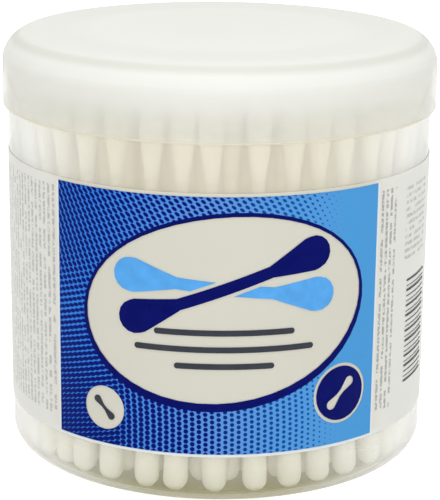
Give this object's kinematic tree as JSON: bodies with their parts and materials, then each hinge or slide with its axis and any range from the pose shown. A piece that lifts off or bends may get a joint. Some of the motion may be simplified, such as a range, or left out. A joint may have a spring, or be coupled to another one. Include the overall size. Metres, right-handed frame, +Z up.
{
  "type": "cotton swab tub",
  "caption": "Round clear tub packed with cotton swabs, with a slip-on milky lid and a wrap-round printed label.",
  "frame": {"origin": "centre of the tub's base, on the surface that it stands on", "axes": "+Z up; the front of the label faces -Y; +X to the right of the front"},
  "size_m": [0.085, 0.085, 0.0828],
  "materials": {
    "clear_plastic": "clear, glossy",
    "milky_plastic": "milky, translucent, satin",
    "label_film": "satin white film",
    "ink_deep": "satin print",
    "ink_mid": "satin print",
    "ink_sky": "satin print",
    "ink_navy": "satin print",
    "ink_grey": "satin print",
    "stick": "smooth white",
    "cotton": "wound cotton"
  },
  "bodies": {
    "tub": {"tub": "clear_plastic", "label": "label_film", "panel_deep": "ink_deep", "panel_mid": "ink_mid", "panel_sky": "ink_sky", "oval_ring": "ink_navy", "badge_dark": "ink_navy", "badge_mark": "ink_grey", "sign_dark": "ink_navy", "sign_light": "ink_sky", "sign_bars": "ink_navy", "side_stripes": "ink_grey", "swab_sticks": "stick", "lower_tips": "cotton", "upper_tips": "cotton"},
    "lid": {"lid": "milky_plastic"}
  },
  "joints": [
    {"name": "lid_lift", "type": "slide", "parent": "tub", "child": "lid", "axis": [0, 0, 1], "range_m": [0, 0.04]}
  ]
}
